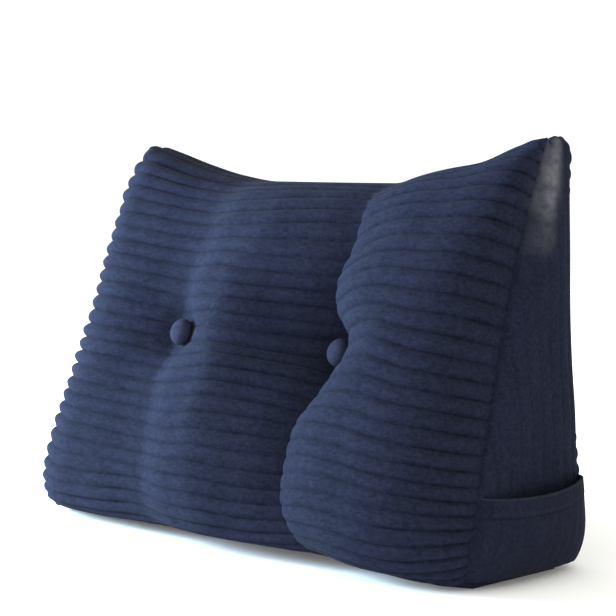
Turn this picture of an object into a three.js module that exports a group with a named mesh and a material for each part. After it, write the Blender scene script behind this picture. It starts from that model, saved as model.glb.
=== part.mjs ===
import * as THREE from 'three';

// Sizes in millimetres. X runs across, the padded front faces -Y and Z runs up.
const WIDTH = 752;
const DEPTH = 214;
const HEIGHT = 500;
const TOP_DEPTH = 43;
const SEAM_Z = 8;
const EAR_INSET = 25;
const WAIST_INSET = 13;
const WAIST_RISE = 1.35;
const FRONT_PULL = 17;
const BACK_PULL = 8;
const CORNER_REACH = 80;
const CORNER_RISE = 55;
const EAR_DOME = 8;
const EAR_NOTCH = 9;
const EAR_REACH = 36;

// Share of the half width, how far the front and the back top edge dip below the full height.
const TOP_EDGE = [
  [-1.00, 5, 9],
  [-0.90, 14, 18],
  [-0.75, 30, 32],
  [-0.55, 46, 47],
  [-0.35, 54, 55],
  [0.30, 55, 56],
  [0.44, 46, 50],
  [0.60, 37, 43],
  [0.74, 29, 35],
  [0.90, 9, 20],
  [1.00, -2, 12],
];
const FRONT_DIP = 1;
const BACK_DIP = 2;

// Share of the half width, how far the front bottom edge is lifted off the floor.
const FOOT_LIFT = [
  [-1.00, 0],
  [-0.50, 3.5],
  [0.00, 6],
  [0.36, 8],
  [0.62, 4.5],
  [0.80, 1],
  [1.00, 0],
];

// The front panel: ribs across it, three lobes and two tufted valleys.
const FRONT_RIBS = 28;
const FRONT_RIB_HEIGHT = 4.8;
const EDGE_SOFTNESS = 0.6;
const CORNER_SOFTNESS = 0.36;
const BUTTON_SHARE = 0.52;
const SEAT_REACH = 0.055;
const SPREAD_REACH = 0.2;
const LOBE_SCALE = { left: 0.87, middle: 1.12, right: 0.97 };
const LOBE_BLEND = 0.16;
const PUSH_DOWN = THREE.MathUtils.degToRad(-8);
const PUSH_TURN = 0.22;

// Reach and power of a valley's right flank, reach and roundness of its left flank, and how much
// wider that is at the button; how rounded the floor is and how far it reaches under the button,
// to the right and to the left.
const LEFT_VALLEY = {
  right: { reach: 138, power: 1.1, floor: 13, seat: 20 },
  left: { reach: 110, roundness: 3.0, floor: 8, seat: 9, spread: 0 },
};
const RIGHT_VALLEY = {
  right: { reach: 102, power: 0.62, floor: 0.6, seat: 8 },
  left: { reach: 138, roundness: 0.15, floor: 0.6, seat: 34, spread: 26 },
};

// Share of the way up, height of the lobes, and how deep each valley cuts into them.
const FRONT_CROWN = [
  [0.00, 0, 0, 0],
  [0.04, 44, 6, 16],
  [0.10, 67, 10, 29],
  [0.18, 75, 13, 37],
  [0.28, 77, 15, 43],
  [0.40, 77, 22, 63],
  [0.48, 77, 34, 82],
  [0.56, 77, 34, 82],
  [0.64, 76, 22, 60],
  [0.72, 74, 15, 38],
  [0.84, 64, 9, 24],
  [0.93, 43, 5, 11],
  [1.00, 0, 0, 0],
];
const CREST = 1;
const LEFT_DEPTH = 2;
const RIGHT_DEPTH = 3;
const LEFT = 1;
const RIGHT = 2;

// Share of the way up, how far in from each side seam the padding rises to its full height.
const EDGE_ROLL = [
  [0.00, 96, 124],
  [0.08, 100, 132],
  [0.20, 98, 136],
  [0.60, 88, 136],
  [0.72, 80, 138],
  [0.86, 68, 160],
  [1.00, 64, 180],
];

// Share of the way up, where each valley lies as a share of the half width.
const VALLEYS = [
  [0.00, 0.30, 0.43],
  [0.15, 0.347, 0.288],
  [0.30, 0.398, 0.272],
  [0.40, 0.428, 0.318],
  [BUTTON_SHARE, 0.407, 0.349],
  [0.65, 0.417, 0.288],
  [0.80, 0.382, 0.352],
  [1.00, 0.46, 0.319],
];

// How far the ribs sag below even rows, in ribs: by rib from the bottom, at each of SAG_COLUMNS.
const SAG_COLUMNS = [-1, -0.65, -0.45, -0.25, 0, 0.2, 0.38, 0.5, 0.65, 0.8, 1];
const RIB_SAG = [
  [0, 0, 0, 0, 0, 0, 0, 0, 0, 0, 0, 0],
  [4, 0.9, 0.7, 0.55, 0.33, 0.25, 0.75, 0.9, 0.15, 0.15, 0.8, 1.3],
  [8, 0.9, 0.76, 1.0, 0.6, 0.3, 0.75, 0.95, 0.1, 0.2, 0.9, 2.0],
  [12, 1.05, 0.82, 0.95, 0.7, 0.55, 0.63, 0.8, 0.1, 0.15, 0.85, 2.0],
  [16, 1.15, 0.87, 0.63, 0.55, 0.43, 0.2, 0.05, 0.1, -0.35, 0.3, 1.45],
  [20, 1.2, 0.66, 0.45, 0.65, 0.6, 0.13, -0.22, -0.4, -0.6, -0.32, 0.6],
  [23, 1.2, 0.66, 0.49, 0.65, 0.35, -0.25, -0.7, -0.85, -0.9, -0.65, -0.1],
  [26, 0.9, 0.65, 0.4, 0.4, 0.15, -0.2, -0.5, -0.6, -0.65, -0.5, -0.3],
  [28, 0, 0, 0, 0, 0, 0, 0, 0, 0, 0, 0],
];
const EVENING_WIDTH = 0.07;

// The other panels.
const SIDE_RIB_PITCH = 19.5;
const SIDE_RIB_HEIGHT = 1.1;
const SIDE_CROWN = 18;
const SIDE_CROWN_LOW = 11;
const SIDE_SWELL = 4;
const SWELL_Z = 345;
const BACK_RIBS = 25;
const BACK_RIB_HEIGHT = 3.5;
const BACK_CROWN = 15;
const TOP_RIBS = 2;
const TOP_RIB_HEIGHT = 2;
const TOP_CROWN = 1;
const RIB_STEPS = 4;
const RIB_ROUNDNESS = 0.68;
const SEAM_FADE = 9;
const SIDE_MARGIN = 2.5;
const BASE_INSET = 16;

// The buttons.
const BUTTON_RADIUS = 17.5;
const BUTTON_DOME = 11;
const BUTTON_UNDERSIDE = 5;
const LEFT_BUTTON = { side: -1, shift: 5, lift: 7.9 };
const RIGHT_BUTTON = { side: 1, shift: -14, lift: 6.7 };

// The pocket on the right side.
const POCKET_TOP_FRONT = 103;
const POCKET_TOP_BACK = 110;
const POCKET_TOP_SAG = 5;
const POCKET_INSET_FRONT = 1;
const POCKET_INSET_BACK = 3;
const POCKET_FOOT_HEIGHTS = [13, 24, 38, 54];
const POCKET_CLEAR = 0.5;
const POCKET_SLACK = 21;
const POCKET_CLOTH = 2.4;
const POCKET_RIB_HEIGHT = 0.5;
const POCKET_RIBS = 11;
const HEM_HEIGHT = 23;
const HEM_EXTRA = 1.2;

const FRONT_Y = -DEPTH / 2;
const BACK_Y = DEPTH / 2;
const TOP_Y = BACK_Y - TOP_DEPTH;
const SLOPE = Math.atan2(HEIGHT - SEAM_Z, TOP_Y - FRONT_Y);
const PUSH_UP = Math.PI / 2 - SLOPE;

const clamp = THREE.MathUtils.clamp;
const smooth = THREE.MathUtils.smoothstep;
const mix = THREE.MathUtils.lerp;

// A smooth curve through one column of a table, without overshoot.
function through(table, column, at) {
  const last = table.length - 1;
  const incline = (i) => (table[i + 1][column] - table[i][column]) / (table[i + 1][0] - table[i][0]);
  const tangent = (i) => {
    if (i === 0) return incline(0);
    if (i === last) return incline(last - 1);
    const [before, after] = [incline(i - 1), incline(i)];
    return before * after > 0 ? (2 * before * after) / (before + after) : 0;
  };
  let i = 0;
  while (i < last - 1 && at > table[i + 1][0]) i += 1;
  const span = table[i + 1][0] - table[i][0];
  const q = clamp((at - table[i][0]) / span, 0, 1);
  const bend = q * q * (3 - 2 * q);
  return mix(table[i][column], table[i + 1][column], bend)
    + span * q * (1 - q) * ((1 - q) * tangent(i) - q * tangent(i + 1));
}

// A rounded rise from a seam to the full height, over the given width.
function roll(distance, width, softness = 0.5) {
  const q = 1 - clamp(distance / width, 0, 1);
  return Math.max(0, 1 - q * q) ** softness;
}

// An even rise over the given width, rounded where it reaches its full height.
function evenRise(distance, width, roundness) {
  const q = 1 - clamp(distance / width, 0, 1);
  return 1 - (Math.hypot(q, roundness) - roundness) / (Math.hypot(1, roundness) - roundness);
}

// A hump around the middle, 1 at its top and near 0 beyond the reach.
function hump(distance, reach) {
  return Math.exp(-((distance / reach) ** 2));
}

// The rounded top of a rib, from one groove at 0 to the next at 1.
function ribProfile(phase) {
  return Math.abs(Math.sin(Math.PI * phase)) ** RIB_ROUNDNESS;
}

function halfWidth(share) {
  const bow = Math.max(0, share) ** WAIST_RISE;
  return WIDTH / 2 - EAR_INSET * share - WAIST_INSET * 4 * bow * (1 - bow);
}

// How far a foot corner is drawn in, at a height and a distance from the corner's upright.
function cornerPull(z, distance, most) {
  const high = 1 - clamp((z - SEAM_Z) / CORNER_RISE, 0, 1);
  const near = 1 - clamp(distance / CORNER_REACH, 0, 1);
  return most * high * high * near * near;
}

function topHeight(across, edge) {
  return HEIGHT - through(TOP_EDGE, edge, across);
}

function footHeight(across) {
  return SEAM_Z + through(FOOT_LIFT, 1, across);
}

// Where the two valleys lie at this height, as signed shares of the half width.
function valleys(share) {
  return [-through(VALLEYS, LEFT, share), through(VALLEYS, RIGHT, share)];
}

// Columns run straight up the sides and follow the valleys in between.
function acrossAt(column, share) {
  const [left, right] = valleys(share);
  if (column < -0.4) return mix(-1, left, (column + 1) / 0.6);
  if (column > 0.4) return mix(right, 1, (column - 0.4) / 0.6);
  return mix(left, right, (column + 0.4) / 0.8);
}

// How deep a valley cuts, past it by this many millimetres to the right, or to the left if negative.
function valleyCut(past, depth, crown, share, valley) {
  const side = past > 0 ? valley.right : valley.left;
  const seat = side.seat * Math.exp(-(((share - BUTTON_SHARE) / SEAT_REACH) ** 4));
  const fromSeat = Math.hypot(Math.max(0, Math.abs(past) - seat), side.floor) - side.floor;
  const flank = past > 0
    ? roll(fromSeat, side.reach, side.power)
    : evenRise(fromSeat, side.reach + side.spread * hump(share - BUTTON_SHARE, SPREAD_REACH), side.roundness);
  return Math.min(crown, depth) * (1 - flank);
}

// How much of its full height the padding has, by the distance to each side seam.
function edgeRise(across, share) {
  const half = halfWidth(share);
  const rightSoftness = mix(EDGE_SOFTNESS, CORNER_SOFTNESS, smooth(share, 0.6, 0.86));
  const fromLeft = roll((1 + across) * half, through(EDGE_ROLL, LEFT, share), EDGE_SOFTNESS);
  const fromRight = roll((1 - across) * half, through(EDGE_ROLL, RIGHT, share), rightSoftness);
  return Math.min(fromLeft, fromRight);
}

// The front panel without its ribs.
function frontBase(column, share) {
  const across = acrossAt(column, share);
  const [left, right] = valleys(share);
  const half = halfWidth(share);
  const lobe = LOBE_SCALE.left
    + (LOBE_SCALE.middle - LOBE_SCALE.left) * smooth(across, left - LOBE_BLEND, left + LOBE_BLEND)
    + (LOBE_SCALE.right - LOBE_SCALE.middle) * smooth(across, right - LOBE_BLEND, right + LOBE_BLEND);
  const crown = through(FRONT_CROWN, CREST, share) * edgeRise(across, share) * lobe;
  const leftDepth = through(FRONT_CROWN, LEFT_DEPTH, share);
  const rightDepth = through(FRONT_CROWN, RIGHT_DEPTH, share);
  const leftCut = valleyCut((across - left) * half, leftDepth, crown, share, LEFT_VALLEY);
  const rightCut = valleyCut((across - right) * half, rightDepth, crown, share, RIGHT_VALLEY);
  const height = Math.max(0, crown - leftCut - rightCut);
  const push = mix(PUSH_DOWN, PUSH_UP, smooth(share, 0, PUSH_TURN));
  const flatZ = mix(footHeight(across), topHeight(across, FRONT_DIP), share);
  const pull = cornerPull(flatZ, (1 - Math.abs(across)) * half, FRONT_PULL);
  return new THREE.Vector3(
    across * half - Math.sign(across) * pull,
    mix(FRONT_Y, TOP_Y, share) + pull - height * Math.cos(push),
    flatZ + height * Math.sin(push),
  );
}

// How much of the rib height is left near the seams and under the buttons.
function frontFade(column, share) {
  const across = acrossAt(column, share);
  const [left, right] = valleys(share);
  const half = halfWidth(share);
  const fromValley = Math.min(Math.abs(across - left), Math.abs(across - right)) * half;
  const fromButton = Math.hypot(fromValley, (share - BUTTON_SHARE) * HEIGHT);
  const fromSide = (1 - Math.abs(across)) * half;
  const atLeftFold = hump((across - left) * half - 14, 30);
  const atRightFold = hump((across - right) * half - 17, 34);
  const stretched = 1 - 0.42 * atLeftFold - 0.7 * atRightFold;
  const puffed = 1 + 0.3 * smooth(-across, 0.9, 0.98);
  const puckered = 1 + 0.35 * hump(fromSide - 15, 9);
  return smooth(fromButton, 16, 46) * smooth(fromSide, -3, 5) * stretched * puffed * puckered;
}

// Moves a point of a base surface outward by the given height.
function raise(surface, a, b, height) {
  const step = 1e-3;
  const alongA = surface(a + step, b).sub(surface(a - step, b));
  const alongB = surface(a, b + step).sub(surface(a, b - step));
  const normal = alongA.cross(alongB).normalize();
  return surface(a, b).addScaledVector(normal, height);
}

// How far the ribs sag at a rib and a column, in ribs.
function sagAt(rib, column) {
  const keys = SAG_COLUMNS.map((place, i) => [place, through(RIB_SAG, i + 1, rib)]);
  return through(keys, 1, column);
}

// Shares of the way up at which the rib steps of one column lie, evenly along the cloth.
function columnShares(column) {
  const samples = 240;
  const lengths = [0];
  let previous = frontBase(column, 0);
  for (let i = 1; i <= samples; i += 1) {
    const point = frontBase(column, i / samples);
    lengths.push(lengths[i - 1] + point.distanceTo(previous));
    previous = point;
  }
  const total = lengths[samples];
  let i = 0;
  return range(FRONT_RIBS * RIB_STEPS + 1, (step) => {
    const rib = step / RIB_STEPS;
    const wanted = total * clamp((rib - sagAt(rib, column)) / FRONT_RIBS, 0, 1);
    while (i < samples - 1 && lengths[i + 1] < wanted) i += 1;
    return (i + (wanted - lengths[i]) / (lengths[i + 1] - lengths[i])) / samples;
  });
}

// The rib shares of all columns, without the kinks of rows that cross a valley, as cloth takes it.
function ribShares(columns) {
  const shares = columns.map(columnShares);
  const widths = columns.map((_, i) => (columns[i + 1] ?? columns[i]) - (columns[i - 1] ?? columns[i]));
  return columns.map((column, i) => {
    const weights = columns.map((other, j) => hump(column - other, EVENING_WIDTH) * widths[j]);
    const total = weights.reduce((sum, weight) => sum + weight, 0);
    const reach = smooth(1 - Math.abs(column), 0, 0.2);
    return shares[i].map((share, step) => {
      const mean = weights.reduce((sum, weight, j) => sum + weight * shares[j][step], 0) / total;
      return mix(share, mean, reach);
    });
  });
}

function sideShare(z) {
  return (z - SEAM_Z) / (HEIGHT - SEAM_Z);
}

function frontSeamY(z) {
  return mix(FRONT_Y, TOP_Y, sideShare(z)) + cornerPull(z, 0, FRONT_PULL);
}

function backSeamY(z) {
  return BACK_Y - cornerPull(z, 0, BACK_PULL);
}

// The right side panel without its ribs.
function sideBase(y, z) {
  const fromFront = y - frontSeamY(z);
  const fromBack = backSeamY(z) - y;
  const fullest = mix(SIDE_CROWN_LOW, SIDE_CROWN, smooth(z, 90, 200)) + SIDE_SWELL * hump(z - SWELL_Z, 60);
  const edges = roll(fromBack, 50) * roll(fromFront, 50);
  const crown = fullest * edges * roll(z - SEAM_Z, 40) * roll(HEIGHT + 6 - z, 110);
  const pull = cornerPull(z, fromFront, FRONT_PULL) + cornerPull(z, fromBack, BACK_PULL);
  return new THREE.Vector3(halfWidth(sideShare(z)) + crown - pull, y, z);
}

function sidePoint(y, z) {
  const phase = (BACK_Y - y) / SIDE_RIB_PITCH;
  const fade = smooth(Math.min(backSeamY(z) - y, y - frontSeamY(z)), 0, SEAM_FADE);
  const ends = smooth(Math.min(z - SEAM_Z, HEIGHT - z), 0, SEAM_FADE);
  return raise(sideBase, y, z, SIDE_RIB_HEIGHT * ribProfile(phase) * fade * ends);
}

// The back panel; across runs from +X to -X, so that its outside faces +Y.
function backBase(across, share) {
  const half = halfWidth(share);
  const z = mix(SEAM_Z, topHeight(-across, BACK_DIP), share);
  const fromSide = (1 - Math.abs(across)) * half;
  const pull = cornerPull(z, fromSide, BACK_PULL);
  const bulge = roll(fromSide, 80) * roll(share * HEIGHT, 60) * roll((1 - share) * HEIGHT, 170, 0.8);
  return new THREE.Vector3(Math.sign(across) * pull - across * half, BACK_Y + BACK_CROWN * bulge - pull, z);
}

// The strip along the top, between the front and the back.
function topBase(across, q) {
  const bulge = TOP_CROWN * Math.sqrt(4 * Math.max(0, q * (1 - q)));
  const ear = EAR_DOME * Math.sin(Math.PI * q ** 1.6) - (q > 0 ? EAR_NOTCH * hump(q - 0.12, 0.1) : 0);
  const half = halfWidth(1);
  const nearEar = smooth(across * half, half - EAR_REACH, half);
  const z = mix(topHeight(across, FRONT_DIP), topHeight(across, BACK_DIP), q) + bulge + ear * nearEar;
  return new THREE.Vector3(across * half, mix(TOP_Y, BACK_Y, q), z);
}

// A closed surface gathered from points and strips.
class Surface {
  constructor() {
    this.points = [];
    this.faces = [];
  }

  add(point) {
    this.points.push(point);
    return this.points.length - 1;
  }

  line(points) {
    return points.map((point) => this.add(point));
  }

  // Joins a lower row to an upper one, both read left to right from outside.
  strip(lower, upper, lowerKeys, upperKeys) {
    const evenly = (row) => row.map((_, i) => i / (row.length - 1));
    const low = lowerKeys ?? evenly(lower);
    const high = upperKeys ?? evenly(upper);
    let i = 0;
    let j = 0;
    while (i < lower.length - 1 || j < upper.length - 1) {
      const canLower = i < lower.length - 1;
      const canUpper = j < upper.length - 1;
      if (canLower && (!canUpper || low[i + 1] <= high[j + 1])) {
        this.faces.push([lower[i], lower[i + 1], upper[j]]);
        i += 1;
      } else {
        this.faces.push([lower[i], upper[j + 1], upper[j]]);
        j += 1;
      }
    }
  }

  // Fills a panel with its inner rows and joins them to the four seams around it.
  panel(rows, seams, keys) {
    for (let k = 0; k + 1 < rows.length; k += 1) {
      this.strip(rows[k], rows[k + 1], keys?.[k], keys?.[k + 1]);
    }
    this.strip(seams.bottom, rows[0]);
    this.strip(rows.at(-1), seams.top);
    this.strip(rows.map((row) => row[0]), seams.left);
    this.strip(seams.right, rows.map((row) => row.at(-1)));
  }

  mesh(name, colour) {
    const geometry = new THREE.BufferGeometry();
    const places = this.points.flatMap((point) => point.toArray());
    geometry.setAttribute('position', new THREE.Float32BufferAttribute(places, 3));
    geometry.setIndex(this.faces.flat());
    geometry.computeVertexNormals();
    const material = new THREE.MeshStandardMaterial({ color: colour, roughness: 0.95 });
    const mesh = new THREE.Mesh(geometry, material);
    mesh.name = name;
    return mesh;
  }
}

function range(count, make) {
  return Array.from({ length: count }, (_, i) => make(i));
}

function buildCushion() {
  const body = new Surface();
  const reversed = (row) => [...row].reverse();

  // Column positions across the front, closest together at the valleys and the sides.
  const half = [0.07, 0.19, 0.27, 0.315, 0.344, 0.4, 0.456, 0.485, 0.54, 0.63, 0.73, 0.83, 0.9, 0.955, 0.985];
  const columns = [...half.map((c) => -c).reverse(), ...half];

  // Seams: points of the edges between the panels, corners shared.
  const seamRow = (make) => range(columns.length, (i) => make(columns[i]));
  const cornerAt = (x, y, z) => body.add(new THREE.Vector3(x, y, z));
  const corner = {};
  for (const side of [-1, 1]) {
    corner[side] = {
      frontFoot: cornerAt(side * (WIDTH / 2 - FRONT_PULL), FRONT_Y + FRONT_PULL, SEAM_Z),
      backFoot: cornerAt(side * (WIDTH / 2 - BACK_PULL), BACK_Y - BACK_PULL, SEAM_Z),
      frontTop: cornerAt(side * halfWidth(1), TOP_Y, topHeight(side, FRONT_DIP)),
      backTop: cornerAt(side * halfWidth(1), BACK_Y, topHeight(side, BACK_DIP)),
    };
  }
  const between = (start, middle, end) => [start, ...body.line(middle), end];
  const acrossSeam = (left, right, share, make) => between(
    left,
    seamRow((column) => make(acrossAt(column, share))),
    right,
  );
  const footX = (across, pull) => (across * WIDTH) / 2 - Math.sign(across) * pull;
  const frontFoot = (across) => {
    const pull = cornerPull(SEAM_Z, ((1 - Math.abs(across)) * WIDTH) / 2, FRONT_PULL);
    return new THREE.Vector3(footX(across, pull), FRONT_Y + pull, footHeight(across));
  };
  const backFoot = (across) => {
    const pull = cornerPull(SEAM_Z, ((1 - Math.abs(across)) * WIDTH) / 2, BACK_PULL);
    return new THREE.Vector3(footX(across, pull), BACK_Y - pull, SEAM_Z);
  };
  const frontBottom = acrossSeam(corner[-1].frontFoot, corner[1].frontFoot, 0, frontFoot);
  const backBottom = between(
    corner[-1].backFoot,
    [-0.97, -0.93, -0.86, -0.7, -0.35, 0, 0.35, 0.7, 0.86, 0.93, 0.97].map(backFoot),
    corner[1].backFoot,
  );
  const topSeam = (q) => (across) => topBase(across, q);
  const frontTop = acrossSeam(corner[-1].frontTop, corner[1].frontTop, 1, topSeam(0));
  const backTop = acrossSeam(corner[-1].backTop, corner[1].backTop, 1, topSeam(1));
  const shares = ribShares([-1, ...columns, 1]);
  const seams = {};
  for (const side of [-1, 1]) {
    const frontLine = (groove) => {
      const share = shares.at(side < 0 ? 0 : -1)[groove * RIB_STEPS];
      const z = mix(SEAM_Z, topHeight(side, FRONT_DIP), share);
      const x = halfWidth(sideShare(z)) - cornerPull(z, 0, FRONT_PULL);
      return new THREE.Vector3(side * x, frontSeamY(z), z);
    };
    const backLine = (share) => {
      const z = mix(SEAM_Z, topHeight(side, BACK_DIP), share);
      const x = halfWidth(sideShare(z)) - cornerPull(z, 0, BACK_PULL);
      return new THREE.Vector3(side * x, backSeamY(z), z);
    };
    seams[side] = {
      front: between(
        corner[side].frontFoot,
        range(FRONT_RIBS - 1, (i) => frontLine(i + 1)),
        corner[side].frontTop,
      ),
      back: between(corner[side].backFoot, range(15, (i) => backLine((i + 1) / 16)), corner[side].backTop),
      foot: between(
        corner[side].frontFoot,
        range(10, (i) => {
          const y = mix(frontSeamY(SEAM_Z), backSeamY(SEAM_Z), (i + 1) / 11);
          return sideBase(y, SEAM_Z).multiply(new THREE.Vector3(side, 1, 1));
        }),
        corner[side].backFoot,
      ),
      top: between(
        corner[side].frontTop,
        [0.14, 0.32, 0.5, 0.68, 0.84].map((q) => topBase(side, q)),
        corner[side].backTop,
      ),
    };
  }

  // Front: one row for every step of every rib.
  const frontRows = range(FRONT_RIBS * RIB_STEPS - 1, (k) => body.line(columns.map((column, i) => {
    const share = shares[i + 1][k + 1];
    const height = FRONT_RIB_HEIGHT * ribProfile((k + 1) / RIB_STEPS) * frontFade(column, share);
    return raise(frontBase, column, share, height);
  })));
  body.panel(frontRows, { bottom: frontBottom, top: frontTop, left: seams[-1].front, right: seams[1].front });

  // Back: fewer columns, ribs across.
  const backColumns = [-0.97, -0.88, -0.7, -0.45, -0.15, 0.15, 0.45, 0.7, 0.88, 0.97];
  const backRows = range(BACK_RIBS * RIB_STEPS - 1, (k) => body.line(backColumns.map((across) => {
    const share = (k + 1) / (BACK_RIBS * RIB_STEPS);
    return raise(backBase, across, share, BACK_RIB_HEIGHT * ribProfile((k + 1) / RIB_STEPS));
  })));
  body.panel(backRows, {
    bottom: reversed(backBottom),
    top: reversed(backTop),
    left: seams[1].back,
    right: seams[-1].back,
  });

  // Sides: upright ribs, cut off by the slanting front seam; the rows rise with the top edge.
  const heights = [13, 24, 38, 54, 70, 86, 102, 130, 170, 215, 260, 305, 350, 395, 435, 465, 485, 494];
  const stepY = SIDE_RIB_PITCH / RIB_STEPS;
  const sideRow = (side, level) => {
    const start = frontSeamY(mix(SEAM_Z, topHeight(side, FRONT_DIP), level)) + SIDE_MARGIN;
    const end = backSeamY(mix(SEAM_Z, topHeight(side, BACK_DIP), level)) - SIDE_MARGIN;
    const steps = range(Math.ceil(DEPTH / stepY), (i) => BACK_Y - i * stepY).reverse();
    return [start, ...steps.filter((y) => y > start + 2 && y < end - 2), end].map((y) => {
      const z = mix(SEAM_Z, topBase(side, (y - start) / (end - start)).z, level);
      return sidePoint(y, z);
    });
  };
  const levels = heights.map(sideShare);
  const rightRows = levels.map((level) => sideRow(1, level));
  body.panel(
    rightRows.map((row) => body.line(row)),
    { bottom: seams[1].foot, top: seams[1].top, left: seams[1].front, right: seams[1].back },
    rightRows.map((row) => row.map((point) => point.y)),
  );
  const leftRows = levels.map((level) => reversed(sideRow(-1, level)).map((point) => point.setX(-point.x)));
  body.panel(
    leftRows.map((row) => body.line(row)),
    {
      bottom: reversed(seams[-1].foot),
      top: reversed(seams[-1].top),
      left: seams[-1].back,
      right: seams[-1].front,
    },
    leftRows.map((row) => row.map((point) => -point.y)),
  );

  // Top strip: ribs along it.
  const topRows = range(TOP_RIBS * RIB_STEPS - 1, (k) => body.line(columns.map((column) => {
    const q = (k + 1) / (TOP_RIBS * RIB_STEPS);
    const height = TOP_RIB_HEIGHT * ribProfile((k + 1) / RIB_STEPS);
    return topBase(acrossAt(column, 1), q).add(new THREE.Vector3(0, 0, height));
  })));
  body.panel(topRows, { bottom: frontTop, top: backTop, left: seams[-1].top, right: seams[1].top });

  // Base: flat on the floor inside a turned rim, and lifted towards the front bottom edge.
  const baseRows = [
    [BACK_Y - BASE_INSET, 0.9],
    [BACK_Y - BASE_INSET - FRONT_PULL, 1],
    [0, 1],
    [FRONT_Y + BASE_INSET + FRONT_PULL, 1],
    [FRONT_Y + BASE_INSET, 0.9],
  ].map(([y, reach]) => body.line(range(12, (i) => {
    const across = mix(-1, 1, i / 11) * (1 - (BASE_INSET * 2) / WIDTH) * reach;
    const lift = (footHeight(across) - SEAM_Z) * clamp(y / (FRONT_Y + BASE_INSET), 0, 1);
    return new THREE.Vector3((across * WIDTH) / 2, y, lift);
  })));
  body.panel(baseRows, {
    bottom: backBottom,
    top: frontBottom,
    left: reversed(seams[-1].foot),
    right: reversed(seams[1].foot),
  });
  return body.mesh('cushion_body', 0x2f3a56);
}

// A domed button, shifted in X along the floor of its tuft and lifted off it.
function buildButton(name, { side, shift, lift }) {
  const seat = frontBase(side * 0.4, BUTTON_SHARE).add(new THREE.Vector3(shift, 0, 0));
  const normal = new THREE.Vector3(0, -Math.cos(PUSH_UP), Math.sin(PUSH_UP));
  const rings = [
    [0.45, -0.85], [0.8, -0.45], [1, 0], [0.985, 0.2], [0.9, 0.48], [0.72, 0.74], [0.45, 0.92], [0.2, 0.99],
  ];
  const segments = 28;
  const across = new THREE.Vector3(1, 0, 0);
  const upward = new THREE.Vector3().crossVectors(normal, across);
  const centre = seat.clone().addScaledVector(normal, lift);
  const surface = new Surface();
  const place = (radius, height, turn) => centre.clone()
    .addScaledVector(across, radius * Math.cos(turn))
    .addScaledVector(upward, radius * Math.sin(turn))
    .addScaledVector(normal, height);
  const rows = rings.map(([radius, height]) => {
    const scaled = height < 0 ? height * BUTTON_UNDERSIDE : height * BUTTON_DOME;
    const row = surface.line(range(segments, (i) => (
      place(radius * BUTTON_RADIUS, scaled, (i / segments) * 2 * Math.PI))));
    return [...row, row[0]];
  });
  const under = surface.add(place(0, -BUTTON_UNDERSIDE, 0));
  const peak = surface.add(place(0, BUTTON_DOME, 0));
  for (let k = 0; k + 1 < rows.length; k += 1) surface.strip(rows[k], rows[k + 1]);
  for (let i = 0; i < segments; i += 1) {
    surface.faces.push([rows[0][i + 1], rows[0][i], under]);
    surface.faces.push([rows.at(-1)[i], rows.at(-1)[i + 1], peak]);
  }
  return surface.mesh(name, 0x3a4767);
}

function pocketTop(q) {
  return mix(POCKET_TOP_FRONT, POCKET_TOP_BACK, q) - POCKET_TOP_SAG * Math.sin(Math.PI * q);
}

// A point of the pocket cloth: q runs from front to back, outward is measured from the inner face.
function pocketPoint(q, z, outward) {
  const [foot] = POCKET_FOOT_HEIGHTS;
  const y = mix(frontSeamY(z) + POCKET_INSET_FRONT, backSeamY(z) - POCKET_INSET_BACK, q);
  const lift = clamp((z - foot) / (pocketTop(q) - foot), 0, 1);
  const away = Math.max(0, Math.sin(Math.PI * q)) ** 0.7;
  const slack = POCKET_SLACK * away * Math.sin(0.65 * Math.PI * lift) ** 0.9;
  const offset = SIDE_RIB_HEIGHT + POCKET_CLEAR + slack + outward;
  return sideBase(y, z).add(new THREE.Vector3(offset, 0, 0));
}

function buildPocket() {
  const surface = new Surface();
  const columns = 40;
  const lowest = POCKET_FOOT_HEIGHTS.at(-1);
  const levels = (q) => {
    const hem = pocketTop(q) - HEM_HEIGHT;
    return [...POCKET_FOOT_HEIGHTS, mix(lowest, hem, 0.55), hem, hem + 2, hem + HEM_HEIGHT / 2, pocketTop(q)];
  };
  const count = levels(0).length;
  const firstHem = POCKET_FOOT_HEIGHTS.length + 2;
  const skin = (outside) => range(count, (k) => surface.line(range(columns + 1, (i) => {
    const q = i / columns;
    const ends = smooth(Math.min(q, 1 - q), 0, 0.04);
    const rib = POCKET_RIB_HEIGHT * ribProfile(q * POCKET_RIBS) * (k < firstHem ? 1 : 0.4);
    const band = k < firstHem ? 0 : HEM_EXTRA;
    return pocketPoint(q, levels(q)[k], outside ? POCKET_CLOTH + (rib + band) * ends : 0);
  })));
  const outer = skin(true);
  const inner = skin(false);
  for (let k = 0; k + 1 < count; k += 1) {
    surface.strip(outer[k], outer[k + 1]);
    surface.strip(inner[k + 1], inner[k]);
    surface.strip([inner[k][0], outer[k][0]], [inner[k + 1][0], outer[k + 1][0]]);
    surface.strip([outer[k][columns], inner[k][columns]], [outer[k + 1][columns], inner[k + 1][columns]]);
  }
  surface.strip(inner[0], outer[0]);
  surface.strip(outer.at(-1), inner.at(-1));
  return surface.mesh('side_pocket', 0x2c3650);
}

const wedgePillow = new THREE.Group();
wedgePillow.name = 'wedge_pillow';
wedgePillow.add(buildCushion());
wedgePillow.add(buildButton('button_left', LEFT_BUTTON));
wedgePillow.add(buildButton('button_right', RIGHT_BUTTON));
wedgePillow.add(buildPocket());

export default wedgePillow;
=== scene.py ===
import math

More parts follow.
